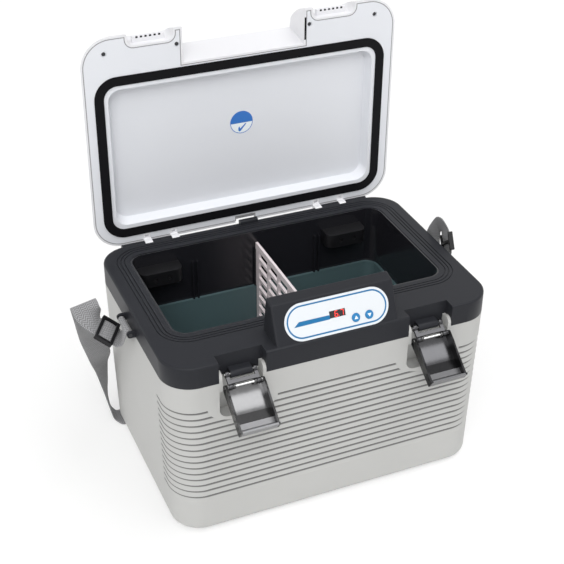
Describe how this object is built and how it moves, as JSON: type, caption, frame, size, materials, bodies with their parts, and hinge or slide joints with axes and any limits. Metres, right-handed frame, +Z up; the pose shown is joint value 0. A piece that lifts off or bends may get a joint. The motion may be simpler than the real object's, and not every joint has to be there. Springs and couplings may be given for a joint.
{
  "type": "vaccine carrier",
  "caption": "Insulated cool box with a hinged lid, over-centre latches, lift-out divider, sloping control panel, ribbed front and carrying strap.",
  "frame": {"origin": "middle of the base, on the surface that the carrier stands on", "axes": "+Z up, +Y from the front towards the hinge, +X to the right seen from the front"},
  "size_m": [0.5481, 0.4369, 0.5754],
  "materials": {
    "shell_plastic": "moulded, fine texture",
    "collar_plastic": "moulded, satin",
    "lid_plastic": "moulded, satin",
    "panel_plastic": "moulded, satin",
    "foam": "rigid foam",
    "liner_plastic": "moulded, satin",
    "tub_plastic": "moulded, satin",
    "divider_plastic": "moulded, satin",
    "black_plastic": "polished",
    "button_plastic": "satin",
    "label_film": "printed film",
    "display": "tinted",
    "board": "solder mask",
    "steel": "polished",
    "aluminium": "milled",
    "ceramic": "ceramic",
    "rubber": "matt",
    "webbing": "woven",
    "link_metal": "satin"
  },
  "bodies": {
    "carrier": {"lower_shell": "shell_plastic", "top_collar": "collar_plastic", "insulation": "foam", "upper_liner": "liner_plastic", "lower_tub": "tub_plastic", "vent_grille": "collar_plastic", "power_inlet": "black_plastic", "hinge_cover_left": "liner_plastic", "hinge_cover_right": "liner_plastic", "hinge_cover_screws": "steel", "cold_plate": "aluminium", "thermoelectric_module": "ceramic", "heat_sink": "aluminium", "fan_housing": "black_plastic", "control_panel": "label_film", "display_window": "display", "display_module": "display", "circuit_board": "board", "hinge_pins": "steel", "feet": "rubber", "strap": "webbing", "strap_buckle_left": "black_plastic", "strap_buckle_right": "black_plastic", "latch_pivot_pin_left": "black_plastic", "strap_bar_left": "steel", "latch_pivot_pin_right": "black_plastic", "strap_bar_right": "steel"},
    "lid": {"lid_outer_shell": "lid_plastic", "lid_inner_panel": "panel_plastic", "lid_foam": "foam", "lid_gasket": "rubber", "lid_screws": "steel", "lid_catch_left": "lid_plastic", "lid_catch_right": "lid_plastic", "hinge_clips": "lid_plastic"},
    "divider": {"divider": "divider_plastic"},
    "fan_wheel": {"fan_wheel": "black_plastic"},
    "button_up": {"button_up": "button_plastic"},
    "button_down": {"button_down": "button_plastic"},
    "latch_link_left": {"latch_link_left": "link_metal"},
    "latch_lever_left": {"latch_lever_left": "black_plastic", "latch_lever_pin_left": "steel", "latch_spacers_left": "black_plastic"},
    "latch_link_right": {"latch_link_right": "link_metal"},
    "latch_lever_right": {"latch_lever_right": "black_plastic", "latch_lever_pin_right": "steel", "latch_spacers_right": "black_plastic"}
  },
  "joints": [
    {"name": "lid_hinge", "type": "hinge", "parent": "carrier", "child": "lid", "pos_m": [0, 0.1564, 0.265], "axis": [1, 0, 0], "range_deg": [0, 90]},
    {"name": "divider_lift", "type": "slide", "parent": "carrier", "child": "divider", "axis": [0, 0, -1], "range_m": [-0.21, 0]},
    {"name": "fan_spin", "type": "hinge", "parent": "carrier", "child": "fan_wheel", "pos_m": [0, -0.11719, 0.11], "axis": [0, -1, 0], "continuous": true},
    {"name": "press_up", "type": "slide", "parent": "carrier", "child": "button_up", "axis": [0, 0.9045, -0.4265], "range_m": [0, 0.0009], "stiffness_N_per_m": 400, "springref_m": -0.001},
    {"name": "press_down", "type": "slide", "parent": "carrier", "child": "button_down", "axis": [0, 0.9045, -0.4265], "range_m": [0, 0.0009], "stiffness_N_per_m": 400, "springref_m": -0.001},
    {"name": "link_swing_left", "type": "hinge", "parent": "carrier", "child": "latch_link_left", "pos_m": [-0.1313, -0.147, 0.244], "axis": [1, 0, 0], "range_deg": [0, 63.5]},
    {"name": "lever_swing_left", "type": "hinge", "parent": "latch_link_left", "child": "latch_lever_left", "pos_m": [-0.1313, -0.16084, 0.23448], "axis": [-1, 0, 0], "range_deg": [0, 186.5]},
    {"name": "link_swing_right", "type": "hinge", "parent": "carrier", "child": "latch_link_right", "pos_m": [0.1313, -0.147, 0.244], "axis": [1, 0, 0], "range_deg": [0, 63.5]},
    {"name": "lever_swing_right", "type": "hinge", "parent": "latch_link_right", "child": "latch_lever_right", "pos_m": [0.1313, -0.16084, 0.23448], "axis": [-1, 0, 0], "range_deg": [0, 186.5]}
  ],
  "couplings": [
    {"joint": "link_swing_left", "follows": "lever_swing_left", "ratio": 0.3404},
    {"joint": "link_swing_right", "follows": "lever_swing_right", "ratio": 0.3404}
  ]
}
